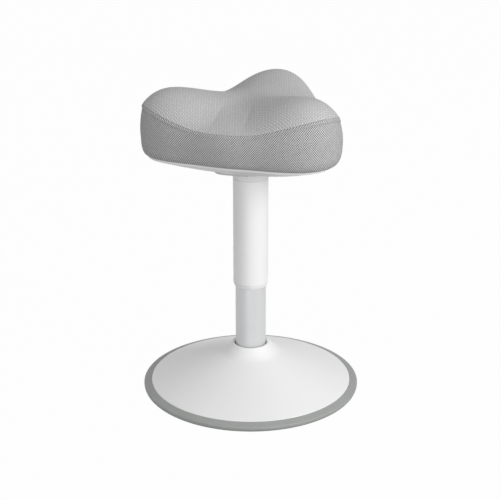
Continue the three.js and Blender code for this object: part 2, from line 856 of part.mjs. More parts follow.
function releaseLever() {
  const width = leverWebWidth;
  const finger = block(
    new THREE.Vector3(-leverTail, -width / 2, fingerLow),
    new THREE.Vector3(webTo, width / 2, fingerLow + leverFingerThickness),
  );
  const web = block(
    new THREE.Vector3(webFrom, -width / 2, paddleTop),
    new THREE.Vector3(webTo, width / 2, fingerLow + leverFingerThickness),
  );
  const arm = shaped(web, { joined: [finger, tiltedPaddle()] });
  const boss = pivotRod(leverBossRadius, earInside - seatGap, 2 * smallSides);
  return shaped(besideLever(arm), { joined: [boss], cut: [pivotRod(leverPinRadius + seatGap, earInside)] });
}

addPiece("release_lever", releaseLever(), "whitePlastic");
addPiece("lever_pin", pivotRod(leverPinRadius, earInside + earThickness + leverPinRivet), "steel");

// Cushion: a crowned saddle top that meets the side band at a seam, and a rounded lower edge

function seamHeight(turn) {
  const middle = (lobeSeamHeight + valleySeamHeight) / 2;
  const swing = (lobeSeamHeight - valleySeamHeight) / 2;
  return lipTop + middle + swing * Math.cos(3 * turn) - flankSeamDraw * (1 - Math.cos(6 * turn));
}

// Height of the top at a share of the way out from its centre
function topHeight(turn, share) {
  const ridge = (1 + Math.cos(3 * turn)) / 2;
  const towardsHorn = Math.max(0, (1 + 2 * Math.cos(turn)) / 3);
  const lobe = (lobeCrown + hornCrown * towardsHorn ** 2) * ridge;
  const valley = sideValleyCrown * (towardsHorn / sideValleyShare) * (1 - ridge);
  const rise = (way) => way ** crownPower * (1 - way ** 2);
  const crestShare = Math.sqrt(crownPower / (crownPower + 2)); // where a lobe's crown is highest
  const lift = rise(share) / rise(crestShare);
  const saddle = (lipTop + centreHeight) * (1 - share ** 2) + seamHeight(turn) * share ** 2;
  return saddle + (lobe + valley) * lift;
}

function seatCushion() {
  const topShares = [0.97, 0.91, 0.83, 0.74, 0.63, 0.5, 0.35, 0.18];
  const bandShares = [0.35, 0.7]; // up the side band, from its rounded foot to its seam
  const footShares = [0, 0.33, 0.67, 1]; // of the rounded lower edge's quarter turn
  const low = lipTop + seatGap;
  const foot = footShares.map((share) => {
    const bend = (share * Math.PI) / 2;
    const pull = rimInset * (1 - Math.sin(bend));
    return ringAt((turn) => planReach(turn) - pull, () => low + cushionFoot * (1 - Math.cos(bend)));
  });
  const band = bandShares.map((share) =>
    ringAt(
      (turn) => planReach(turn) + bandBulge,
      (turn) => low + cushionFoot + (seamHeight(turn) - low - cushionFoot) * share,
    ),
  );
  const seam = ringAt((turn) => planReach(turn) - seamPinch, seamHeight);
  const top = topShares.map((share) =>
    ringAt((turn) => planReach(turn) * share, (turn) => topHeight(turn, share)),
  );
  const recess = (turn) => rimReach(turn) - trayLipWall;
  const ceiling = boardTop + seatGap;
  return lofted(
    [
      ringAt((turn) => recess(turn) * recessShare, () => ceiling),
      ringAt(recess, () => ceiling),
      ringAt(recess, () => low),
      ...foot,
      ...band,
      seam,
      ...top,
    ],
    [ceiling, lipTop + centreHeight],
  );
}

addPiece("seat_cushion", seatCushion(), "weave");

export default stool;
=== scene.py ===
# Perch stool: white cone foot, gas lift column and a three-lobed saddle seat in woven cloth.
# Metres, +Z up, the column on the Z axis. A turn is measured from +Y, the horn, towards +X.
import math
import bmesh
import bpy
import numpy as np
from mathutils import Matrix, Vector, kdtree


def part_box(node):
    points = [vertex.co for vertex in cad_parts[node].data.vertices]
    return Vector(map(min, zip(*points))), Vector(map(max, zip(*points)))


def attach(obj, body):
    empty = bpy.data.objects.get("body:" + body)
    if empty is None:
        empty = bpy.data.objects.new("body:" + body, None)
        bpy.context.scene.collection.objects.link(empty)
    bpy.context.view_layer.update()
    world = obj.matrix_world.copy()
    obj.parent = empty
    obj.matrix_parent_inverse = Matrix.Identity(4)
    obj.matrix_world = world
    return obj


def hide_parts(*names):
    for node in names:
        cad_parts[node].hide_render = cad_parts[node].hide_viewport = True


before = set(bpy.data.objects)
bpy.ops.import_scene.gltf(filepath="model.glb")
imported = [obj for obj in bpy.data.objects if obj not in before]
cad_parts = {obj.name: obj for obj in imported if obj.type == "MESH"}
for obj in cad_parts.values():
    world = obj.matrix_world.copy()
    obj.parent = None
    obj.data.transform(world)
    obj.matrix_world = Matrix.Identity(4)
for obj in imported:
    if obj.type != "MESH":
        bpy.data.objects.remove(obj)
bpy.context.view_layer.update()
print("frame loaded")


# Shader maths: a signal is something that varies over a surface
class Signal:
    def __init__(self, tree, socket=None):
        self.tree = tree
        self.socket = socket

    def node(self, kind, settings=None, inputs=None, output=0):
        made = self.tree.nodes.new("ShaderNode" + kind)
        for name, value in (settings or {}).items():
            setattr(made, name, value)
        for name, value in (inputs or {}).items():
            if isinstance(value, Signal):
                self.tree.links.new(value.socket, made.inputs[name])
            else:
                made.inputs[name].default_value = value
        return Signal(self.tree, made.outputs[output])

    def sibling(self, name):
        return Signal(self.tree, self.socket.node.outputs[name])

    def maths(self, operation, *others):
        return self.node("Math", {"operation": operation}, dict(enumerate((self, *others))))

    def clamped(self):
        return self.node("Clamp", inputs={0: self})

    # A signal about a half, turned into one about zero
    def swung(self, amount):
        return (self - 0.5) * amount

    def mixed(self, first, second):
        return self.node("Mix", {"data_type": "RGBA"}, {0: self, 6: first, 7: second}, 2)

    def __add__(self, other):
        return self.maths("ADD", other)

    def __sub__(self, other):
        return self.maths("SUBTRACT", other)

    def __rsub__(self, other):
        return self * -1 + other

    def __mul__(self, other):
        return self.maths("MULTIPLY", other)

    __radd__ = __add__
    __rmul__ = __mul__


def grey(level):
    return (level, level, level, 1)


# A material whose fixed sockets are set on its shader and whose paint gives what varies
def newFinish(name, fixed, paint, look):
    material = bpy.data.materials.new(name)
    material.use_nodes = True
    tree = material.node_tree
    shader = tree.nodes["Principled BSDF"]
    for socket, value in fixed.items():
        shader.inputs[socket].default_value = value
    for socket, signal in paint(Signal(tree), look).items():
        tree.links.new(signal.socket, shader.inputs[socket])
    return material


def objectPlace(root):
    return root.node("TexCoord", output="Object")


def noise(root, place, scale, detail=2.0, roughness=0.5):
    inputs = {"Vector": place, "Scale": scale, "Detail": detail, "Roughness": roughness}
    return root.node("TexNoise", inputs=inputs)


def scaled(root, vector, factors):
    return root.node("VectorMath", {"operation": "MULTIPLY"}, {0: vector, 1: factors})


def bump(root, height, distance, strength=1.0):
    return root.node("Bump", inputs={"Height": height, "Distance": distance, "Strength": strength})


# Painted and moulded skins: two close tones in soft patches, a fine grain and a varied gloss
def skinPaint(root, look):
    place = objectPlace(root)
    patches = noise(root, place, look["patchScale"], 3)
    grain = noise(root, place, look["grainScale"], 2)
    speck = noise(root, place, look["speckScale"], 1)
    tone = (patches + speck.swung(look["speckAmount"])).clamped()
    return {
        "Base Color": tone.mixed(look["darkTone"], look["lightTone"]),
        "Roughness": look["roughness"] + patches.swung(look["glossSwing"]),
        "Normal": bump(root, grain, look["grainDepth"]),
    }


whitePaintLook = {
    "darkTone": (0.855, 0.858, 0.855, 1),
    "lightTone": (0.885, 0.887, 0.884, 1),
    "patchScale": 9,
    "grainScale": 650,  # powder coat's orange peel
    "grainDepth": 0.000012,
    "speckScale": 2400,
    "speckAmount": 0.25,
    "roughness": 0.34,
    "glossSwing": 0.08,
}
whitePaint = newFinish("whitePowderCoat", {"Coat Roughness": 0.25}, skinPaint, whitePaintLook)

whitePlasticLook = {
    "darkTone": (0.84, 0.842, 0.838, 1),
    "lightTone": (0.87, 0.872, 0.868, 1),
    "patchScale": 12,
    "grainScale": 1700,  # the mould's spark texture
    "grainDepth": 0.00003,
    "speckScale": 3000,
    "speckAmount": 0.3,
    "roughness": 0.44,
    "glossSwing": 0.08,
}
whitePlastic = newFinish("whiteMouldedPlastic", {}, skinPaint, whitePlasticLook)

# The lever's white plastic with painted shade: its tones are darkened to stand in for the shade it
# lies in under the tray
leverPaintedShadeLook = dict(
    whitePlasticLook,
    darkTone=(0.55, 0.552, 0.55, 1),
    lightTone=(0.61, 0.612, 0.61, 1),
)
leverPlasticPaintedShade = newFinish("leverPlasticPaintedShade", {}, skinPaint, leverPaintedShadeLook)

greyRubberLook = {
    "darkTone": (0.305, 0.315, 0.307, 1),
    "lightTone": (0.389, 0.399, 0.391, 1),
    "patchScale": 25,
    "grainScale": 1500,
    "grainDepth": 0.00008,
    "speckScale": 2600,
    "speckAmount": 0.8,
    "roughness": 0.62,
    "glossSwing": 0.16,
}
greyRubber = newFinish("greyRubber", {}, skinPaint, greyRubberLook)

darkRubberLook = {
    "darkTone": (0.022, 0.022, 0.024, 1),
    "lightTone": (0.04, 0.04, 0.042, 1),
    "patchScale": 20,
    "grainScale": 900,
    "grainDepth": 0.0001,
    "speckScale": 1800,
    "speckAmount": 0.6,
    "roughness": 0.78,
    "glossSwing": 0.12,
}
darkRubber = newFinish("darkRubber", {}, skinPaint, darkRubberLook)

blackPlasticLook = dict(darkRubberLook, roughness=0.45, grainScale=2200, grainDepth=0.00003)
blackPlastic = newFinish("blackPlastic", {}, skinPaint, blackPlasticLook)

castIronLook = {
    "darkTone": (0.05, 0.05, 0.053, 1),
    "lightTone": (0.1, 0.1, 0.105, 1),
    "patchScale": 14,
    "grainScale": 420,
    "grainDepth": 0.0004,
    "speckScale": 1300,
    "speckAmount": 0.9,
    "roughness": 0.7,
    "glossSwing": 0.2,
}
castIron = newFinish("castIron", {"Metallic": 0.4}, skinPaint, castIronLook)


# Metals: fine draw marks along one way, over soft patches
def metalPaint(root, look):
    place = objectPlace(root)
    patches = noise(root, place, look["patchScale"], 3)
    marks = noise(root, scaled(root, place, look["markStretch"]), 1.0, 3)
    tone = (0.5 * patches + 0.5 * marks).clamped()
    return {
        "Base Color": tone.mixed(look["darkTone"], look["lightTone"]),
        "Roughness": look["roughness"] + marks.swung(look["glossSwing"]),
        "Normal": bump(root, marks, look["markDepth"]),
    }


silverTubeLook = {
    "darkTone": (0.6, 0.605, 0.61, 1),
    "lightTone": (0.685, 0.69, 0.695, 1),
    "patchScale": 14,
    "markStretch": (1500, 1500, 60),  # drawn lengthwise
    "markDepth": 0.000015,
    "roughness": 0.4,
    "glossSwing": 0.1,
}
silverTube = newFinish("satinSilverTube", {"Metallic": 0.35}, metalPaint, silverTubeLook)

zincLook = {
    "darkTone": (0.4, 0.41, 0.42, 1),
    "lightTone": (0.55, 0.56, 0.565, 1),
    "patchScale": 60,
    "markStretch": (900, 900, 900),
    "markDepth": 0.00002,
    "roughness": 0.36,
    "glossSwing": 0.2,
}
zincSteel = newFinish("zincSteel", {"Metallic": 0.9}, metalPaint, zincLook)

groundLook = {
    "darkTone": (0.6, 0.61, 0.62, 1),
    "lightTone": (0.7, 0.705, 0.71, 1),
    "patchScale": 30,
    "markStretch": (200, 200, 4200),  # ground round the axis
    "markDepth": 0.000006,
    "roughness": 0.18,
    "glossSwing": 0.1,
}
groundSteel = newFinish("groundSteel", {"Metallic": 1.0}, metalPaint, groundLook)


# Plywood: long grain on the faces, glued layers round the edge
def plywoodPaint(root, look):
    place = objectPlace(root)
    height = root.node("SeparateXYZ", inputs={0: place}).sibling("Z")
    layers = (height * (2 * math.pi / look["layerPair"])).maths("SINE") * 0.5 + 0.5
    grain = noise(root, scaled(root, place, look["grainStretch"]), 1.0, 4, look["grainRoughness"])
    tone = (grain * look["grainShare"] + layers * look["layerShare"]).clamped()
    return {
        "Base Color": tone.mixed(look["darkTone"], look["lightTone"]),
        "Roughness": look["roughness"] + grain * look["glossSwing"],
        "Normal": bump(root, grain, look["grainDepth"]),
    }


plywoodLook = {
    "darkTone": (0.42, 0.28, 0.15, 1),
    "lightTone": (0.66, 0.5, 0.31, 1),
    "layerPair": 0.003,  # two glued layers
    "layerShare": 0.3,
    "grainShare": 0.75,
    "grainStretch": (25, 700, 700),
    "grainRoughness": 0.65,  # of the grain's fine lines
    "grainDepth": 0.00015,
    "roughness": 0.62,
    "glossSwing": 0.15,
}
plywood = newFinish("plywood", {}, plywoodPaint, plywoodLook)


# Woven cloth: warp and weft cross in turn, each yarn a little different, with loose fibres, and
# with painted shade between the yarns, in the seam's groove and under the cushion
def clothPaint(root, look):
    cut = root.node("UVMap", {"uv_map": "cloth"})
    place = objectPlace(root)
    sway = noise(root, place, look["swayScale"], 2).swung(look["swayAmount"])
    parts = root.node("SeparateXYZ", inputs={0: cut})
    across = parts.sibling("X") * (math.pi / look["acrossPitch"]) + sway
    along = parts.sibling("Y") * (math.pi / look["alongPitch"]) + sway
    crossing = across.maths("SINE") * along.maths("SINE")
    warp = (crossing * look["crossingEdge"] * 0.5 + 0.5).clamped()
    swell = crossing.maths("ABSOLUTE").maths("POWER", look["yarnPower"])
    warpTone = noise(root, scaled(root, cut, look["warpStretch"]), 1.0, 2)
    weftTone = noise(root, scaled(root, cut, look["weftStretch"]), 1.0, 2)
    fibres = noise(root, place, look["fibreScale"], 3, look["fibreRoughness"])
    patches = noise(root, place, look["patchScale"], 3)
    warpColour = warpTone.mixed(look["warpDark"], look["warpLight"])
    weftColour = weftTone.mixed(look["weftDark"], look["weftLight"])
    yarn = warp.mixed(weftColour, warpColour)
    # Painted shade in the crevices between the yarns, with painted light and shade along the ribs
    # of the lengthwise yarns
    paintedYarnShade = (1 - swell) * look["creviceAmount"] + across.maths("SINE") * look["ribAmount"]
    # Painted shade in the seam's groove and where the cloth turns in under the cushion, read from
    # the mesh
    seam = root.node("Attribute", {"attribute_name": "paintedSeamAndFootShade"}).sibling("Fac")
    shade = 1 - paintedYarnShade - seam * look["seamAmount"]
    shade = shade + fibres.swung(look["fibreAmount"]) + patches.swung(look["patchAmount"])
    shadeColour = root.node("CombineXYZ", inputs={0: shade, 1: shade, 2: shade})
    coloured = scaled(root, yarn, shadeColour)
    height = swell + fibres.swung(look["fibreHeight"])
    return {
        "Base Color": coloured,
        "Roughness": look["roughness"] + fibres * look["glossSwing"],
        "Normal": bump(root, height, look["weaveDepth"], look["weaveStrength"]),
    }


clothLook = {
    "acrossPitch": 0.00168,  # from one yarn to the next
    "alongPitch": 0.00189,
    "swayScale": 90,
    "swayAmount": 0.9,
    "crossingEdge": 2.6,  # how sharply one yarn gives way to the next
    "yarnPower": 0.55,  # under 1 makes each yarn's back rounder
    "warpDark": (0.67, 0.67, 0.673, 1),
    "warpLight": (0.91, 0.91, 0.913, 1),
    "weftDark": (0.092, 0.092, 0.093, 1),
    "weftLight": (0.194, 0.194, 0.195, 1),
    "warpStretch": (550, 90, 1),
    "weftStretch": (90, 520, 1),
    "fibreScale": 2600,
    "fibreRoughness": 0.6,
    "fibreAmount": 0.5,
    "fibreHeight": 0.5,
    "patchScale": 16,
    "patchAmount": 0.08,
    # painted shade in the crevices between the yarns, and painted light and shade along the
    # lengthwise yarns' ribs
    "creviceAmount": 0.25,
    "ribAmount": 0.0,  # of the lengthwise yarns standing out on their own
    # painted shade in the seam's groove and under the cushion's lower edge
    "seamAmount": 0.1,
    "weaveDepth": 0.0003,
    "weaveStrength": 0.6,
    "roughness": 0.86,
    "glossSwing": 0.12,
}
clothSheen = {"Sheen Weight": 0.12, "Sheen Roughness": 0.5, "Specular IOR Level": 0.25}
bandCloth = newFinish("bandCloth", clothSheen, clothPaint, clothLook)
topLook = dict(
    clothLook,
    acrossPitch=0.002,
    alongPitch=0.0021,
    swayAmount=1.4,
    warpDark=(0.585, 0.585, 0.588, 1),
    warpLight=(0.765, 0.765, 0.768, 1),
    weftDark=(0.405, 0.405, 0.407, 1),
    weftLight=(0.562, 0.562, 0.564, 1),
    warpStretch=(600, 330, 1),
    weftStretch=(330, 600, 1),
    ribAmount=0.055,
    fibreScale=800,
    fibreAmount=0.8,
    weaveDepth=0.0002,
)
topCloth = newFinish("topCloth", clothSheen, clothPaint, topLook)
print("finishes made")


# Mesh helpers

def newPiece(name, points, faces, finishes):
    mesh = bpy.data.meshes.new(name)
    mesh.from_pydata([tuple(point) for point in points], [], faces)
    for finish in finishes:
        mesh.materials.append(finish)
    piece = bpy.data.objects.new(name, mesh)
    bpy.context.scene.collection.objects.link(piece)
    return piece


def facedOut(piece):
    mesh = bmesh.new()
    mesh.from_mesh(piece.data)
    bmesh.ops.recalc_face_normals(mesh, faces=mesh.faces)
    mesh.to_mesh(piece.data)
    mesh.free()
    return piece


def smoothShaded(piece, sharpDegrees=40):
    mesh = piece.data
    mesh.polygons.foreach_set("use_smooth", [True] * len(mesh.polygons))
    mesh.set_sharp_from_angle(angle=math.radians(sharpDegrees))
    return piece


def weighted(piece):
    modifier = piece.modifiers.new("weightedNormals", "WEIGHTED_NORMAL")
    modifier.keep_sharp = True
    return piece


def settled(piece, body, slot, *nodes):
    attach(piece, body)
    if nodes:
        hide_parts(*nodes)


# Puts the modifiers into the mesh
def applied(piece):
    bpy.context.view_layer.update()
    done = piece.evaluated_get(bpy.context.evaluated_depsgraph_get())
    mesh = bpy.data.meshes.new_from_object(done)
    piece.modifiers.clear()
    piece.data = mesh
    return piece


def combined(piece, tool, operation):
    modifier = piece.modifiers.new("joint", "BOOLEAN")
    modifier.operation = operation
    modifier.solver = "EXACT"
    modifier.object = tool
    applied(piece)
    bpy.data.objects.remove(tool)


# A bend from start to end, drawn towards a corner
def bent(start, corner, end, steps):
    points = []
    for k in range(steps + 1):
        way = k / steps
        points.append(start * (1 - way) ** 2 + corner * 2 * way * (1 - way) + end * way**2)
    return points


# Rounds the corners of an outline of (radius, height, fillet)
def filleted(corners, steps=5):
    outline = []
    for i, (radius, height, fillet) in enumerate(corners):
        here = Vector((radius, height))
        if not fillet:
            outline.append(here)
            continue
        before = Vector(corners[i - 1][:2])
        after = Vector(corners[(i + 1) % len(corners)][:2])
        start = here + (before - here).normalized() * fillet
        end = here + (after - here).normalized() * fillet
        outline += bent(start, here, end, steps)
    return [(point.x, point.y) for point in outline]


# The corners of a section from one radius to another
def sectionCorners(inner, outer, low, high, innerFillet, outerFillet):
    return [
        (inner, low, innerFillet),
        (outer, low, outerFillet),
        (outer, high, outerFillet),
        (inner, high, innerFillet),
    ]


# A closed outline turned about the Z axis
def turnedPiece(name, outline, finish, sides):
    turns = np.linspace(0, 2 * math.pi, sides, endpoint=False)
    points, rings, faces = [], [], []
    for radius, height in outline:
        first = len(points)
        if radius == 0:
            points.append((0, 0, height))
            rings.append([first] * sides)
        else:
            points.extend((radius * math.sin(t), radius * math.cos(t), height) for t in turns)
            rings.append(list(range(first, first + sides)))
    for here, there in zip(rings, rings[1:] + rings[:1]):
        for i in range(sides):
            j = (i + 1) % sides
            face = list(dict.fromkeys([here[i], there[i], there[j], here[j]]))
            if len(face) > 2:
                faces.append(face)
    return weighted(smoothShaded(facedOut(newPiece(name, points, faces, [finish]))))


# Faces between rings of equal counts; closed joins the last ring to the first
def loftFaces(ringCount, steps, closed):
    faces = []
    for r in range(ringCount if closed else ringCount - 1):
        here, there = r * steps, ((r + 1) % ringCount) * steps
        for i in range(steps):
            j = (i + 1) % steps
            faces.append((here + i, there + i, there + j, here + j))
    return faces


# The same with its two ends closed by flat faces
def barFaces(ringCount, steps):
    last = (ringCount - 1) * steps
    ends = [tuple(range(steps)), tuple(range(last, last + steps))]
    return loftFaces(ringCount, steps, False) + ends


# Foot

coverForm = {
    "wall": 0.0025,
    "edgeDepth": 0.005,  # of the cover's skirt inside the rubber
    "coneAngle": 21.5,
    "neckAngle": 48,
    "neckReach": 0.0121,  # across the steep part of the neck, below its rim
    "flareRun": 0.0082,  # across the cone's bend up into the neck
    "neckGap": 0.0012,
    "rimRoll": 0.0032,
    "edgeFillet": 0.0014,
    "flareSteps": 20,
    "rimSteps": 24,
    "sides": 256,
}


def baseCover():
    lowest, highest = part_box("base_cover")
    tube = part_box("column_tube")[1].x
    form = coverForm
    wall, edge, lip = form["wall"], highest.x, highest.z
    low = lowest.z
    slope = math.tan(math.radians(form["coneAngle"]))
    shoulder = low + form["edgeDepth"]
    roll, run, lean = form["rimRoll"], form["flareRun"], math.radians(90 - form["neckAngle"])
    middle = Vector((tube + form["neckGap"] + roll, lip - roll))
    end = middle + Vector((math.cos(lean), math.sin(lean))) * roll
    bendRadius = end.x + form["neckReach"]
    bend = Vector((bendRadius, shoulder + (edge - bendRadius) * slope))
    start = bend + Vector((run, -run * slope))
    skirt = filleted([(edge, low, 0), (edge, shoulder, form["edgeFillet"]), (start.x, start.y, 0)])
    line = [Vector(point) for point in skirt[:-1]] + bent(start, bend, end, form["flareSteps"])
    inside = []
    for i, point in enumerate(line):
        along = (line[min(i + 1, len(line) - 1)] - line[max(i - 1, 0)]).normalized()
        inside.append(point + Vector((-along.y, along.x)) * wall)
    rimTurns = np.linspace(lean, 1.5 * math.pi, form["rimSteps"] + 1)[1:]
    rim = [middle + Vector((math.cos(a), math.sin(a))) * roll for a in rimTurns]
    outline = line + rim + [point for point in reversed(inside) if point.y < middle.y - roll]
    outline = [(point.x, point.y) for point in outline]
    piece = turnedPiece("baseCover", outline, whitePaint, form["sides"])
    settled(piece, "foot", "white_paint", "base_cover")


ringForm = {
    "curl": 0.0075,  # how far the rubber rolls in towards the floor
    "curlShare": 0.75,  # of the height up to the ring's widest part
    "curlSteps": 12,
    "bandDrop": 0.004,  # fall of the band from the cover to its widest part
    "seatGap": 0.0003,
    "bevel": 0.001,
    "sides": 256,
}


def baseRing():
    form = ringForm
    lowest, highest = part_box("base_ring")
    wide, top = highest.x, highest.z
    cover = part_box("base_cover")[1].x
    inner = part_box("floor_pad")[1].x + form["seatGap"]
    wall = cover + form["seatGap"]
    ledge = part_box("base_cover")[0].z - form["seatGap"]
    widest = top - form["bandDrop"] - form["seatGap"]
    outline = [(inner, lowest.z)]
    for bend in np.linspace(0, math.pi / 2, form["curlSteps"]):
        radius = wide - form["curl"] * (1 - math.sin(bend))
        outline.append((radius, form["curlShare"] * widest * (1 - math.cos(bend))))
    edge = filleted([
        (wide, widest * form["curlShare"], 0),
        (wide, widest, form["bevel"]),
        (wall, top, form["bevel"] / 2),
        (wall, ledge, 0),
    ])
    outline += edge[1:]
    outline.append((inner, ledge))
    piece = turnedPiece("baseRing", outline, greyRubber, form["sides"])
    settled(piece, "foot", "grey_rubber", "base_ring")


padForm = {"edge": 0.001, "sides": 128}


def floorPad():
    lowest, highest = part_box("floor_pad")
    corners = sectionCorners(0, highest.x, lowest.z, highest.z, 0, padForm["edge"])
    piece = turnedPiece("floorPad", filleted(corners), darkRubber, padForm["sides"])
    settled(piece, "foot", "dark_rubber", "floor_pad")


baseCover()
baseRing()
floorPad()
print("foot made")


# Column

columnForm = {
    "seatGap": 0.0003,  # between the sleeve and its rings
    "sides": 160,
}


def columnTurned(name, corners, steps, finish):
    return turnedPiece(name, filleted(corners, steps), finish, columnForm["sides"])


# A pipe in the place of a node, as wide and as long as that
def pipe(name, node, form, finish):
    lowest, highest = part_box(node)
    inner, edge = highest.x - form["wall"], form["edge"]
    corners = sectionCorners(inner, highest.x, lowest.z, highest.z, edge, edge)
    return columnTurned(name, corners, form["edgeSteps"], finish)


tubeForm = {"wall": 0.002, "edge": 0.0004, "edgeSteps": 3}


def columnTube():
    piece = pipe("columnTube", "column_tube", tubeForm, silverTube)
    settled(piece, "foot", "silver_tube", "column_tube")


sleeveForm = {"wall": 0.0016, "edge": 0.0003, "edgeSteps": 3}


def outerSleeve():
    piece = pipe("sleeve", "sleeve", sleeveForm, whitePaint)
    settled(piece, "seat", "white_paint", "sleeve")


endRingForm = {
    "bore": 0.0254,
    "taper": 0.0018,
    "taperHeight": 0.006,
    "edge": 0.0006,
    "edgeSteps": 4,
}


def sleeveEndRing():
    form = endRingForm
    lowest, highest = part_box("sleeve_end_ring")
    outer, bore, edge = highest.x, form["bore"], form["edge"]
    tongue = outer - sleeveForm["wall"] - columnForm["seatGap"]
    shoulder = lowest.z + form["taperHeight"]
    corners = [
        (bore, lowest.z, edge / 2),
        (outer - form["taper"], lowest.z, edge),
        (outer, shoulder, edge),
        (tongue, shoulder, 0),
        (tongue, highest.z, edge),
        (bore, highest.z, edge),
    ]
    piece = columnTurned("sleeveEndRing", corners, form["edgeSteps"], whitePlastic)
    settled(piece, "seat", "white_plastic", "sleeve_end_ring")


topRingForm = {
    "bore": 0.0193,
    "tongueWall": 0.004,
    "flare": 0.0015,
    "edge": 0.0006,
    "edgeSteps": 4,
}


def sleeveTopRing():
    form = topRingForm
    lowest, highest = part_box("sleeve_top_ring")
    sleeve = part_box("sleeve")[1]
    tongue = sleeve.x - sleeveForm["wall"] - columnForm["seatGap"]
    inner = tongue - form["tongueWall"]
    low = sleeve.z + columnForm["seatGap"]
    bore, flare, edge = form["bore"], form["flare"], form["edge"]
    corners = [
        (inner, lowest.z, edge),
        (tongue, lowest.z, edge),
        (tongue, low, 0),
        (sleeve.x, low, edge / 2),
        (sleeve.x + flare, highest.z - flare, edge),
        (sleeve.x + flare, highest.z, edge / 2),
        (bore, highest.z, 0),
        (bore, low, 0),
        (inner, low, 0),
    ]
    piece = columnTurned("sleeveTopRing", corners, form["edgeSteps"], whitePlastic)
    settled(piece, "seat", "white_plastic", "sleeve_top_ring")


columnTube()
outerSleeve()
sleeveEndRing()
sleeveTopRing()
print("column made")


# The seat's plan: three lobes, a third of a turn apart

seatForm = {
    "lobeReach": 0.1725,
    "valleyReach": 0.129,
    "flankDraw": 0.0048,  # how far the sides pull in between lobe and valley
    "rimInset": 0.014,  # from the cushion's side to the tray's lip
    "lipTurn": 120,  # of the two rear lobes
    "lipFocus": 4,
    "leftLipReach": 0.0035,  # the lip's further reach under the left lobe
    "rightLipReach": 0.001,
    "steps": 288,
}


# From a lobe's value to a valley's, less a draw on the flanks between them
def lobed(turns, lobe, valley, draw):
    swing = (lobe - valley) / 2
    return (lobe + valley) / 2 + swing * np.cos(3 * turns) - draw * (1 - np.cos(6 * turns))


# 1 at a turn, falling to 0 at a right angle from it, sooner with a higher power
def near(turns, degrees, power):
    return np.maximum(0, np.cos(turns - math.radians(degrees))) ** power


# One ring of points round the column, at a reach and a height of its own at each turn
def seatRing(reach, height):
    reach = np.broadcast_to(reach, seatTurns.shape)
    height = np.broadcast_to(height, seatTurns.shape)
    return np.stack([reach * np.sin(seatTurns), reach * np.cos(seatTurns), height], axis=1)


seatTurns = np.linspace(0, 2 * math.pi, seatForm["steps"], endpoint=False)
lobeReach, valleyReach = seatForm["lobeReach"], seatForm["valleyReach"]
planReaches = lobed(seatTurns, lobeReach, valleyReach, seatForm["flankDraw"])
rimReaches = planReaches - seatForm["rimInset"]
for side, lipReach in ((-1, seatForm["leftLipReach"]), (1, seatForm["rightLipReach"])):
    rimReaches += lipReach * near(seatTurns, side * seatForm["lipTurn"], seatForm["lipFocus"])


# Seat tray and release lever

trayForm = {
    "flatRadius": 0.03,
    "collarHeight": 0.003,  # of the collar round the column, below the dish
    "holeRadius": 0.02,
    "wall": 0.002,
    "lipHeight": 0.0038,
    "lipWall": 0.0025,
    "lipTuck": 0.3,  # of the lip's rounding, that the dish ends below its foot
    "bend": 1.38,  # how the dish curves from the collar to the lip
    "dishSteps": 26,
    "edge": 0.0005,
    "edgeSteps": 4,
    "screwReach": 0.11,
    "screwTurns": (0, 120, 240),
    "screwGap": 0.0003,
    "pocketRadius": 0.0048,
    "pocketSides": 48,
    "headHeight": 0.0018,
    "windowGap": 0.0015,  # round the paddle
    "windowRim": 0.0006,  # of the tray left between its collar and the window
    "windowDrop": 0.006,  # that the window's cut starts below the collar
    "windowHeight": 0.0177,  # that it reaches above the collar's foot
    "sharpDegrees": 30,
}

leverForm = {
    "turn": -120,
    "pivotReach": 0.037,
    "webLength": 0.008,
    "webWidth": 0.009,
    "webEdge": 0.0005,
    "webEdgeSteps": 3,
    "tail": 0.005,
    "fingerThickness": 0.004,
    "bossRadius": 0.005,
    "bossHalf": 0.0072,
    "bossEdge": 0.0004,
    "barSides": 40,
    "pinRadius": 0.0023,
    "paddleReach": 0.062,
    "paddleWidth": 0.072,
    "paddleRoot": 0.01,  # reach of the two horns that end beside the column
    "paddleThickness": 0.0065,
    "paddleTilt": 7.2,
    "paddleCorner": 0.014,
    "cornerSteps": 10,
    "edge": 0.0012,
    "sharpDegrees": 35,
    "travel": 6,
}


# The paddle's outline in the lever's own frame, grown by a margin: X runs out from the column
# and Y across. Its root is hollow, to go round the tray's collar.
def paddleOutline(margin, swing=0.0):
    form = leverForm
    steps = form["cornerSteps"]
    root = form["paddleRoot"] - margin
    arc = trayForm["flatRadius"] + trayForm["windowRim"] + trayForm["windowGap"] - margin
    tip = form["paddleReach"] + margin + swing
    half = form["paddleWidth"] / 2 + margin
    corner = form["paddleCorner"]
    side = [(root, half), (tip - corner, half)]
    for k in range(1, steps + 1):
        way = k / steps
        side.append((tip - corner * (1 - way) ** 2, half - corner * way**2))
    hollow = math.acos(root / arc)
    turns = np.linspace(-hollow, hollow, 4 * steps)
    otherSide = [(x, -y) for x, y in reversed(side)]
    return side + otherSide + [(arc * math.cos(t), arc * math.sin(t)) for t in turns]


# Turns points of the lever's own frame into the stool's
def besideLever(points):
    angle = math.pi / 2 - math.radians(leverForm["turn"])
    cosine, sine = math.cos(angle), math.sin(angle)
    return [(x * cosine - y * sine, x * sine + y * cosine, z) for x, y, z in points]


# A solid through outlines of equal counts, each at its own height, tilted about its root
def prism(name, levels, finish, root=0.0, tilt=0.0):
    cosine, sine = math.cos(math.radians(tilt)), math.sin(math.radians(tilt))
    base = levels[0][1]
    points = []
    for outline, height in levels:
        up = height - base
        for x, y in outline:
            out = x - root
            points.append((root + out * cosine - up * sine, y, base + out * sine + up * cosine))
    faces = barFaces(len(levels), len(levels[0][0]))
    return facedOut(newPiece(name, besideLever(points), faces, [finish]))


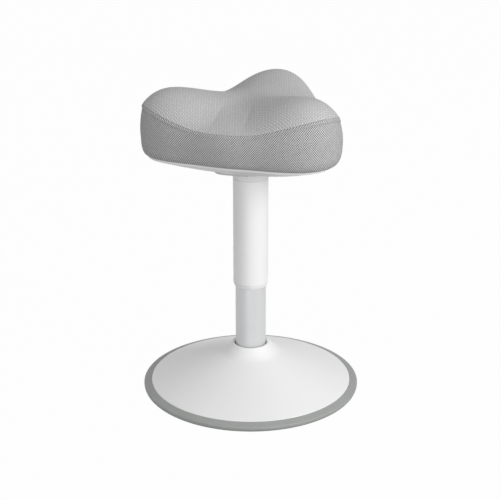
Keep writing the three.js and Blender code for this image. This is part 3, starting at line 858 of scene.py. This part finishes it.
# A block across the lever's middle, between two reaches and two heights
def leverBlock(name, start, end, low, high):
    half = leverForm["webWidth"] / 2
    outline = [(start, -half), (end, -half), (end, half), (start, half)]
    piece = prism(name, [(outline, low), (outline, high)], leverPlasticPaintedShade)
    bevel = piece.modifiers.new("edge", "BEVEL")
    bevel.width = leverForm["webEdge"]
    bevel.segments = leverForm["webEdgeSteps"]
    return applied(piece)


# A round bar along the lever's pivot
def pivotBar(name, radius, half, height, edge=0.0):
    steps, reach = leverForm["barSides"], leverForm["pivotReach"]
    levels = [
        (radius - edge, -half),
        (radius, -half + edge),
        (radius, half - edge),
        (radius - edge, half),
    ]
    points = []
    for size, y in levels:
        for k in range(steps):
            a = 2 * math.pi * k / steps
            points.append((reach + size * math.cos(a), y, height + size * math.sin(a)))
    faces = barFaces(len(levels), steps)
    return facedOut(newPiece(name, besideLever(points), faces, [leverPlasticPaintedShade]))


def dishReach(share):
    return trayForm["flatRadius"] + (rimReaches - trayForm["flatRadius"]) * share


def dishHeight(share):
    lowest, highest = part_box("seat_tray")
    low = lowest.z + trayForm["collarHeight"]
    return low + (highest.z - low - trayForm["lipHeight"]) * share ** trayForm["bend"]


# The tray's rings, out along its underside, over the lip and back inside
def trayRings(low, top):
    form = trayForm
    edge, wall, flat = form["edge"], form["wall"], form["flatRadius"]
    bends = np.linspace(0, math.pi / 2, form["edgeSteps"])
    quarter = [(edge * (1 - math.sin(a)), edge * (1 - math.cos(a))) for a in bends]
    shares = np.linspace(0, 1, form["dishSteps"])
    lipFoot = dishHeight(1)
    rings = [seatRing(form["holeRadius"], low)]
    rings += [seatRing(flat - into, low + up) for into, up in quarter]
    rings += [seatRing(dishReach(share), dishHeight(share)) for share in shares[:-1]]
    rings.append(seatRing(rimReaches - edge, lipFoot - edge * form["lipTuck"]))
    rings += [seatRing(rimReaches - into, lipFoot + up) for into, up in quarter]
    rings += [seatRing(rimReaches - into, top - down) for down, into in quarter]
    rings.append(seatRing(rimReaches - form["lipWall"], top))
    for share in shares[::-2]:
        thick = wall + (form["lipWall"] - wall) * share
        rings.append(seatRing(dishReach(share) - thick, dishHeight(share) + wall))
    rings.append(seatRing(flat - wall, low + wall))
    rings.append(seatRing(form["holeRadius"], low + wall))
    return rings


def leverPinHeight():
    lowest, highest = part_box("lever_pin")
    return (lowest.z + highest.z) / 2


# Height of the tray screws' seat, a little over the dish
def screwSeat():
    form = trayForm
    rim = lobeReach - seatForm["rimInset"]
    share = (form["screwReach"] - form["flatRadius"]) / (rim - form["flatRadius"])
    return dishHeight(share) + form["wall"] + form["headHeight"] / 2 - form["screwGap"]


def seatTray():
    form = trayForm
    lowest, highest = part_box("seat_tray")
    low = lowest.z
    rings = trayRings(low, highest.z)
    faces = loftFaces(len(rings), len(seatTurns), True)
    tray = facedOut(newPiece("seatTray", np.concatenate(rings), faces, [whitePlastic]))
    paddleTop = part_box("release_lever")[0].z + leverForm["paddleThickness"]
    swing = (leverPinHeight() - paddleTop) * math.sin(math.radians(leverForm["travel"]))
    window = paddleOutline(form["windowGap"], swing)
    levels = [(window, low - form["windowDrop"]), (window, low + form["windowHeight"])]
    combined(tray, prism("window", levels, whitePlastic), "DIFFERENCE")
    seat, radius, reach = screwSeat(), form["pocketRadius"], form["screwReach"]
    for turn in np.radians(form["screwTurns"]):
        outline = [(0, low), (radius, low), (radius, seat), (0, seat)]
        bore = turnedPiece("pocket", outline, whitePlastic, form["pocketSides"])
        bore.modifiers.clear()
        place = (reach * math.sin(turn), reach * math.cos(turn), 0)
        bore.data.transform(Matrix.Translation(place))
        combined(tray, bore, "DIFFERENCE")
    weighted(smoothShaded(tray, form["sharpDegrees"]))
    settled(tray, "seat", "white_plastic", "seat_tray")


def releaseLever():
    form = leverForm
    lowest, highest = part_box("release_lever")
    low, top, middle = lowest.z, highest.z, leverPinHeight()
    thick, edge = form["paddleThickness"], form["edge"]
    mid = edge * 0.3  # both ways, half round the edge
    rounding = [(edge, 0), (mid, mid), (0, edge)]
    rounding += [(0, thick - edge / 2), (edge / 2, thick)]
    levels = [(paddleOutline(-inset), low + up) for inset, up in rounding]
    lever = prism("releaseLever", levels, leverPlasticPaintedShade, form["paddleRoot"], form["paddleTilt"])
    webFrom = form["pivotReach"] - form["webLength"] / 2
    webTo = form["pivotReach"] + form["webLength"] / 2
    web = leverBlock("web", webFrom, webTo, low + thick, top)
    finger = leverBlock("finger", -form["tail"], webTo, top - form["fingerThickness"], top)
    boss = pivotBar("boss", form["bossRadius"], form["bossHalf"], middle, form["bossEdge"])
    bore = pivotBar("bore", form["pinRadius"], form["bossHalf"] * 2, middle)
    for tool in (web, finger, boss):
        combined(lever, tool, "UNION")
    combined(lever, bore, "DIFFERENCE")
    weighted(smoothShaded(lever, form["sharpDegrees"]))
    settled(lever, "lever", "white_plastic", "release_lever")


seatTray()
releaseLever()
print("tray and lever made")


# Cushion

cushionForm = {
    "foot": 0.024,  # height over which the lower edge rounds in
    "footPower": 0.7,  # under 1 makes that rounding fuller
    "footSteps": 10,
    "footFold": 0.001,  # of the cloth round the lower edge
    "footFoldReach": 0.0004,
    # painted shade on the cloth where it turns in under the cushion, and the rings it fades over
    "paintedFootShade": 0.6,  # of the cloth where it turns in under the cushion
    "paintedFootShadeRings": 4,
    "lobeSeam": 0.0805,  # above the tray's lip
    "valleySeam": 0.0537,
    "flankSeamDraw": 0.0032,
    "centre": 0.0907,
    "lobeCrown": 0.018,
    "hornCrown": 0.002,
    "sideValleyCrown": 0.00375,
    "crownPower": 2.6,
    "hollowTurn": 178,
    "hollowFocus": 6.6,
    "hollowDepth": 0.0045,  # of the near valley between the two rear lobes
    "flankTurn": 42,
    "flankFocus": 12,
    "flankRise": 0.006,  # of the horn's flank on that side
    "bandBulge": 0.0012,
    "bandBulgeEnd": 1.02,  # over 1 ends the bulge a little below the seam's roll
    "bandSteps": 16,
    "rollHeight": 0.0055,  # soft roll of the band just under the seam
    "rollBulge": 0.001,
    "rollPower": 0.8,
    "rollSteps": 6,
    "seamPinch": 0.0012,
    # the seam's shade is painted shade, and it fades into the valleys with the roll
    "seamFaint": 0.2,  # how much of the seam's roll and shade is left in the valleys
    "grooveDepth": 0.0007,
    "grooveHeight": 0.0011,
    "grooveRings": ((1, 0.5), (0.8, 0.1)),  # shares of the depth, and of the height below the seam
    "topSteps": 46,
    "topSpread": 1.35,  # over 1 draws the top's rings together by the seam
    "topEdge": 0.006,  # over which the top turns down to the seam
    "topEdgeDrop": 0.0006,
    "topEdgeGather": 0.6,
    "underShares": (0.12, 0.5, 0.94),
    "recessWall": 0.0025,  # round the seat board
    "boardGap": 0.0003,
    "puckerDepth": 0.00012,
    "puckerPitch": 0.0085,
    "puckerWander": ((0.6, 5, 1), (0.5, 9, 2.3)),  # size, count and start of each slow wave
    "puckerEven": 0.55,  # share that is the same all round
    "puckerSwells": ((3, 0.7), (7, 0)),  # count and start of the waves that vary the rest
    "weaveTurn": -20,  # degrees, of the top's weave against the stool
    "leftTurn": -112,
    "leftFocus": 6,
    "leftLean": 0.0035,  # of the left lobe's side, inwards towards its seam
    "rightTurn": 100,
    "rightFocus": 3,
    "rightSpread": 0.0055,  # of the right side, outwards at its foot
    "rightLean": 0.0045,  # of that side, inwards towards its seam
    "fill": 0.85,
}


# 1 on the three lobes, 0 in the valleys between them
def onLobes(turns):
    return (1 + np.cos(3 * turns)) / 2


def seamHeight(turns, lipTop):
    form = cushionForm
    return lipTop + lobed(turns, form["lobeSeam"], form["valleySeam"], form["flankSeamDraw"])


def topHeight(turns, share, lipTop):
    form = cushionForm
    ridge = onLobes(turns)
    towardsHorn = np.maximum(0, (1 + 2 * np.cos(turns)) / 3)
    lobe = (form["lobeCrown"] + form["hornCrown"] * towardsHorn**2) * ridge
    valley = form["sideValleyCrown"] * towardsHorn * (1 - ridge)
    power = form["crownPower"]

    def rise(way):
        return way**power * (1 - way**2)

    lift = rise(share) / rise(math.sqrt(power / (power + 2)))
    saddle = (lipTop + form["centre"]) * (1 - share**2) + seamHeight(turns, lipTop) * share**2
    awayFromHollow = 1 - np.cos(turns - math.radians(form["hollowTurn"]))
    hollow = form["hollowDepth"] * np.exp(-form["hollowFocus"] * awayFromHollow)
    flank = form["flankRise"] * near(turns, form["flankTurn"], form["flankFocus"])
    return saddle + (lobe + valley + flank - hollow) * lift


# The seam's roll and its painted shade show in full on the lobes and fade in the valleys between
# them
def seamFade(turns):
    return cushionForm["seamFaint"] + (1 - cushionForm["seamFaint"]) * onLobes(turns)


# Small gathers along the seam, alike on both sides of it
def puckers(turns, reaches):
    form = cushionForm
    climb = np.diff(reaches, append=reaches[0])
    length = np.cumsum(np.hypot(climb, reaches * (turns[1] - turns[0])))
    waves = np.round(length[-1] / form["puckerPitch"])
    phase = length / length[-1] * 2 * math.pi
    wander = sum(size * np.sin(n * phase + start) for size, n, start in form["puckerWander"])
    first, second = (np.sin(n * phase + start) for n, start in form["puckerSwells"])
    uneven = (1 - form["puckerEven"]) * first * second
    return form["puckerDepth"] * (form["puckerEven"] + uneven) * np.sin(waves * phase + wander)


# The cushion's rings, from under the seat board out, up the band and in over the top
def cushionRings(low, ceiling, lipTop):
    form = cushionForm
    leftwards = near(seatTurns, form["leftTurn"], form["leftFocus"])
    rightwards = near(seatTurns, form["rightTurn"], form["rightFocus"])
    lean = leftwards * form["leftLean"] + rightwards * form["rightLean"]
    reaches = planReaches + rightwards * form["rightSpread"]
    seam = seamHeight(seatTurns, lipTop)
    gathers = puckers(seatTurns, reaches)
    fade = seamFade(seatTurns)
    recess = rimReaches - form["recessWall"]
    rings, kinds = [], []

    def add(reach, height, kind):
        rings.append(seatRing(reach, height))
        kinds.append(kind)

    for share in form["underShares"]:
        add(recess * share, ceiling, "under")
    add(recess, ceiling, "under")
    add(recess, low + form["footFold"], "under")
    add(recess + form["footFoldReach"], low, "under")
    for bend in np.linspace(0, math.pi / 2, form["footSteps"]):
        pull = (reaches - rimReaches) * (1 - math.sin(bend) ** form["footPower"])
        add(reaches - pull, low + form["foot"] * (1 - math.cos(bend)), "band")
    bandLow = low + form["foot"]
    bandTop = seam - form["rollHeight"] - form["grooveHeight"]
    for share in np.linspace(0, 1, form["bandSteps"])[1:]:
        bulge = form["bandBulge"] * math.sin(math.pi * min(1, share * form["bandBulgeEnd"]))
        add(reaches + bulge - lean * share**2, bandLow + (bandTop - bandLow) * share, "band")
    reaches = reaches - lean
    for way in np.linspace(0, 1, form["rollSteps"] + 1)[1:]:
        bulge = form["rollBulge"] * fade * math.sin(math.pi * way) ** form["rollPower"]
        draw = form["seamPinch"] * way**2
        add(reaches + bulge - draw + gathers * way, bandTop + form["rollHeight"] * way, "band")
    seamReaches = reaches - form["seamPinch"]
    for depth, below in form["grooveRings"]:
        reach = seamReaches - form["grooveDepth"] * depth + gathers
        add(reach, seam - form["grooveHeight"] * below, "groove")
    for share in 1 - np.linspace(0, 1, form["topSteps"])[:-1] ** form["topSpread"]:
        edge = np.maximum(0, 1 - (1 - share) * reaches / form["topEdge"])
        height = topHeight(seatTurns, share, lipTop) - form["topEdgeDrop"] * edge**2
        add(seamReaches * share, height + gathers * edge * form["topEdgeGather"], "top")
    return rings, kinds


def cushionPiece():
    form = cushionForm
    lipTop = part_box("seat_tray")[1].z
    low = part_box("seat_cushion")[0].z
    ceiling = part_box("seat_board")[1].z + form["boardGap"]
    rings, kinds = cushionRings(low, ceiling, lipTop)
    steps = len(seatTurns)
    last = (len(rings) - 1) * steps
    middles = [(0, 0, ceiling), (0, 0, topHeight(np.zeros(1), 0.0, lipTop)[0])]
    points = np.vstack([np.concatenate(rings), middles])
    faces = loftFaces(len(rings), steps, False)
    faces += [(last + steps, i, (i + 1) % steps) for i in range(steps)]
    faces += [(last + i, last + steps + 1, last + (i + 1) % steps) for i in range(steps)]
    faceKinds = ["band" if kind == "groove" else kind for kind in kinds[1:] for _ in range(steps)]
    faceKinds += ["under"] * steps + ["top"] * steps
    cushion = newPiece("cushion", points, faces, [bandCloth, topCloth])
    mesh = cushion.data
    mesh.polygons.foreach_set("material_index", [int(kind == "top") for kind in faceKinds])
    mesh.polygons.foreach_set("use_smooth", [True] * len(mesh.polygons))
    layCloth(mesh, rings, faceKinds, kinds.index("band") + form["footSteps"] - 1)
    paintClothShade(mesh, kinds)
    return facedOut(cushion)


# Paints shade into the cloth: painted shade in the seam's groove and where the cloth turns in
# under the cushion
def paintClothShade(mesh, kinds):
    form = cushionForm
    paintedShades = [seamFade(seatTurns) * (kind == "groove") for kind in kinds]
    first, count = kinds.index("band"), form["paintedFootShadeRings"]
    for i in range(count):
        paintedShades[first + i] = paintedShades[first + i] + form["paintedFootShade"] * (1 - i / count)
    shade = mesh.attributes.new("paintedSeamAndFootShade", "FLOAT", "POINT")
    shade.data.foreach_set("value", np.append(np.concatenate(paintedShades), [0, 0]))


# Lays the cloth: along the band's side, and flat over the top
def layCloth(mesh, rings, faceKinds, footTop):
    form = cushionForm
    steps = len(seatTurns)
    grid = np.stack(rings)
    bandTop = footTop + form["bandSteps"]
    girth = grid[footTop + form["bandSteps"] // 3]
    around = np.linalg.norm(np.roll(girth, -1, axis=0) - girth, axis=1)
    pair = 2 * clothLook["acrossPitch"]
    length = np.round(around.sum() / pair) * pair  # whole repeats, so that the ends meet
    across = np.concatenate([[0], np.cumsum(around)]) * (length / around.sum())
    climb = np.linalg.norm(np.diff(grid, axis=0), axis=2)
    along = np.concatenate([np.zeros((1, steps)), np.cumsum(climb, axis=0)])
    along -= along[footTop - form["footSteps"] + 1]
    rise = grid[footTop:bandTop, :, 2] - grid[footTop, :, 2]
    along[footTop:bandTop] = along[footTop] + rise  # level rows on the band's side
    along[bandTop:] = along[bandTop - 1] + np.cumsum(climb[bandTop - 1:], axis=0)
    turn = math.radians(form["weaveTurn"])
    cosine, sine = math.cos(turn), math.sin(turn)
    places = []
    for number, polygon in enumerate(mesh.polygons):
        step = number % steps
        for index in polygon.vertices:
            if faceKinds[number] == "band":
                ring, column = divmod(index, steps)
                places.append((across[step if column == step else step + 1], along[ring, column]))
            else:
                x, y, _ = mesh.vertices[index].co
                places.append((x * cosine - y * sine, x * sine + y * cosine))
    mesh.uv_layers.new(name="cloth").data.foreach_set("uv", np.ravel(places))


fillForm = {
    "voxel": 0.005,
    "pressure": 18.0,
    "frames": 24,
    "cap": 0.003,  # how far the filling may push the cloth
    "pinReach": 0.006,  # of the seam's hold
    "quality": 6,
    "neighbours": 8,
}


def pointsOf(mesh):
    points = np.zeros(len(mesh.vertices) * 3)
    mesh.vertices.foreach_get("co", points)
    return points.reshape(-1, 3)


def treeOf(points):
    tree = kdtree.KDTree(len(points))
    for i, point in enumerate(points):
        tree.insert(point, i)
    tree.balance()
    return tree


# A closed copy of the cushion in an even mesh, to swell
def fillingOf(cushion):
    copy = bpy.data.objects.new("filling", cushion.data.copy())
    bpy.context.scene.collection.objects.link(copy)
    remesh = copy.modifiers.new("remesh", "REMESH")
    remesh.mode = "VOXEL"
    remesh.voxel_size = fillForm["voxel"]
    return applied(copy)


# Holds the copy at its seam and its lower edge
def pinFilling(copy, rest):
    reach = fillForm["pinReach"]
    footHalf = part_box("seat_cushion")[0].z + cushionForm["foot"] / 2
    seam = seamHeight(seatTurns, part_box("seat_tray")[1].z)
    seamTree = treeOf(seatRing(planReaches - cushionForm["seamPinch"], seam))
    pins = copy.vertex_groups.new(name="pins")
    for i, point in enumerate(rest):
        away = seamTree.find(point)[2]
        hold = max(0.0, 1 - max(0.0, away - reach / 2) / reach)
        if point[2] < footHalf:
            hold = 1.0
        if hold > 0:
            pins.add([i], hold, "REPLACE")


# Swells the copy under pressure and gives its points' new places
def swollenPoints(copy):
    form = fillForm
    cloth = copy.modifiers.new("cloth", "CLOTH")
    cloth.settings.quality = form["quality"]
    cloth.settings.vertex_group_mass = "pins"
    cloth.settings.use_pressure = True
    cloth.settings.uniform_pressure_force = form["pressure"]
    cloth.settings.effector_weights.gravity = 0
    cloth.collision_settings.use_collision = False
    cloth.point_cache.frame_start = 1
    cloth.point_cache.frame_end = form["frames"]
    for step in range(1, form["frames"] + 1):
        bpy.context.scene.frame_set(step)
    done = copy.evaluated_get(bpy.context.evaluated_depsgraph_get()).to_mesh()
    return pointsOf(done)


# Fills the cushion: a copy swells, and the cushion's own points follow it
def fillCushion(cushion):
    form = fillForm
    copy = fillingOf(cushion)
    rest = pointsOf(copy.data)
    pinFilling(copy, rest)
    push = swollenPoints(copy) - rest
    length = np.linalg.norm(push, axis=1, keepdims=True)
    push *= np.minimum(1, form["cap"] / np.maximum(length, 1e-9))
    bpy.data.objects.remove(copy)
    bpy.context.scene.frame_set(1)
    tree = treeOf(rest)
    for vertex in cushion.data.vertices:
        found = tree.find_n(vertex.co, form["neighbours"])
        weights = np.array([1 / (distance + form["voxel"] / 4) ** 2 for _, _, distance in found])
        pushes = push[[index for _, index, _ in found]]
        moved = (pushes * weights[:, None]).sum(axis=0) / weights.sum()
        vertex.co = vertex.co + Vector(moved)
    return float(length.max())


cushion = cushionPiece()
print("cushion filled, furthest push", round(fillCushion(cushion), 4))
settled(cushion, "seat", "weave", "seat_cushion")
print("cushion made")


# The pieces inside keep their shapes and take their finishes here

def numbered(name, count):
    return [f"{name}_{i + 1}" for i in range(count)]


steelNodes = ["column_socket", "tube_end_plate", "retaining_clip", "gas_cylinder", "piston"]
steelNodes += ["seat_hub", "lever_pin"] + numbered("socket_bolt", 3) + numbered("tray_screw", 3)
steelNodes += numbered("hub_bolt", 4) + numbered("tee_nut", 4)
brightNodes = ["lower_race", "ball_cage", "upper_race", "piston_rod", "valve_pin"]
innerFinishes = (
    (zincSteel, steelNodes),
    (groundSteel, brightNodes),
    (castIron, ["base_weight"]),
    (blackPlastic, ["guide_bush", "rod_gland"]),
    (darkRubber, ["bump_stop"]),
    (plywood, ["seat_board"]),
)
for finish, names in innerFinishes:
    for name in names:
        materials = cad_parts[name].data.materials
        materials.clear()
        materials.append(finish)
print("inner pieces finished")


# Floor, light and camera

stageForm = {
    "floorHalf": 6.0,
    "floorDrop": 0.0002,  # below the foot
    "floorTone": 0.26,
    "floorGlow": 0.985,  # share of plain white that the camera sees in the floor
    "worldLight": 0.41,
}


# Empties the node tree of a material or world, to be built anew
def emptied(owner):
    owner.use_nodes = True
    owner.node_tree.nodes.clear()
    return Signal(owner.node_tree)


def shown(shader, kind):
    output = shader.tree.nodes.new("ShaderNodeOutput" + kind)
    shader.tree.links.new(shader.socket, output.inputs["Surface"])


# 1 for rays from the camera and for those that gloss and glass send on
def seenDirectly(root):
    path = root.node("LightPath", output="Is Camera Ray")
    glossy, clear = path.sibling("Is Glossy Ray"), path.sibling("Is Transmission Ray")
    return path.maths("MAXIMUM", glossy.maths("MAXIMUM", clear))


def studioFloor():
    half, height = stageForm["floorHalf"], -stageForm["floorDrop"]
    corners = [(x * half, y * half, height) for x, y in ((-1, -1), (1, -1), (1, 1), (-1, 1))]
    material = bpy.data.materials.new("studioFloor")
    root = emptied(material)
    seen = seenDirectly(root) * stageForm["floorGlow"]
    matt = root.node("BsdfDiffuse", inputs={"Color": grey(stageForm["floorTone"])})
    glow = root.node("Emission", inputs={"Color": grey(1), "Strength": 1})
    shown(root.node("MixShader", inputs={0: seen, 1: matt, 2: glow}), "Material")
    floor = newPiece("floor", corners, [(0, 1, 2, 3)], [material])


def studioWorld():
    world = bpy.data.worlds.new("studio")
    bpy.context.scene.world = world
    root = emptied(world)
    light = stageForm["worldLight"]
    dim = root.node("Background", inputs={"Color": grey(1), "Strength": light})
    bright = root.node("Background", inputs={"Color": grey(1), "Strength": 1})
    shown(root.node("MixShader", inputs={0: seenDirectly(root), 1: dim, 2: bright}), "World")


# Soft boxes: turn from the camera's own side, in degrees towards its right
lampForms = {
    "key": {"turn": 60, "lift": 24, "power": 42.5},
    "fill": {"turn": -12, "lift": 4, "power": 26},
}
boxForm = {"distance": 2.6, "size": 1.5, "aimHeight": 0.28}
viewForm = {
    "azimuth": 20,
    "distance": 1.8,  # over the floor, from the column
    "height": 0.8796,
    "tilt": 19.61,
    "lens": 84.45,
    "sensor": 36,
    "shift": -0.0014,
    "nearest": 0.05,
}


# The way out from the column, for a turn and a lift in degrees
def wayOut(turn, lift):
    turn, lift = math.radians(turn), math.radians(lift)
    level = math.cos(lift)
    return Vector((math.sin(turn) * level, -math.cos(turn) * level, math.sin(lift)))


def standing(name, data, place, facing):
    holder = bpy.data.objects.new(name, data)
    holder.location = place
    holder.rotation_euler = facing.to_track_quat("-Z", "Y").to_euler()
    bpy.context.scene.collection.objects.link(holder)
    return holder


def studioLamps():
    target = Vector((0, 0, boxForm["aimHeight"]))
    for name, form in lampForms.items():
        out = wayOut(viewForm["azimuth"] + form["turn"], form["lift"])
        lamp = bpy.data.lights.new(name, "AREA")
        lamp.shape = "DISK"
        lamp.size = boxForm["size"]
        lamp.energy = form["power"]
        standing(name, lamp, target + out * boxForm["distance"], -out)


def studioCamera():
    form = viewForm
    camera = bpy.data.cameras.new("camera")
    camera.lens = form["lens"]
    camera.sensor_width = form["sensor"]
    camera.shift_x = form["shift"]
    camera.clip_start = form["nearest"]
    place = wayOut(form["azimuth"], 0) * form["distance"]
    place.z = form["height"]
    facing = -wayOut(form["azimuth"], form["tilt"])
    bpy.context.scene.camera = standing("camera", camera, place, facing)


studioFloor()
studioWorld()
studioLamps()
studioCamera()
bpy.context.scene.view_settings.view_transform = "Standard"
print("studio set")
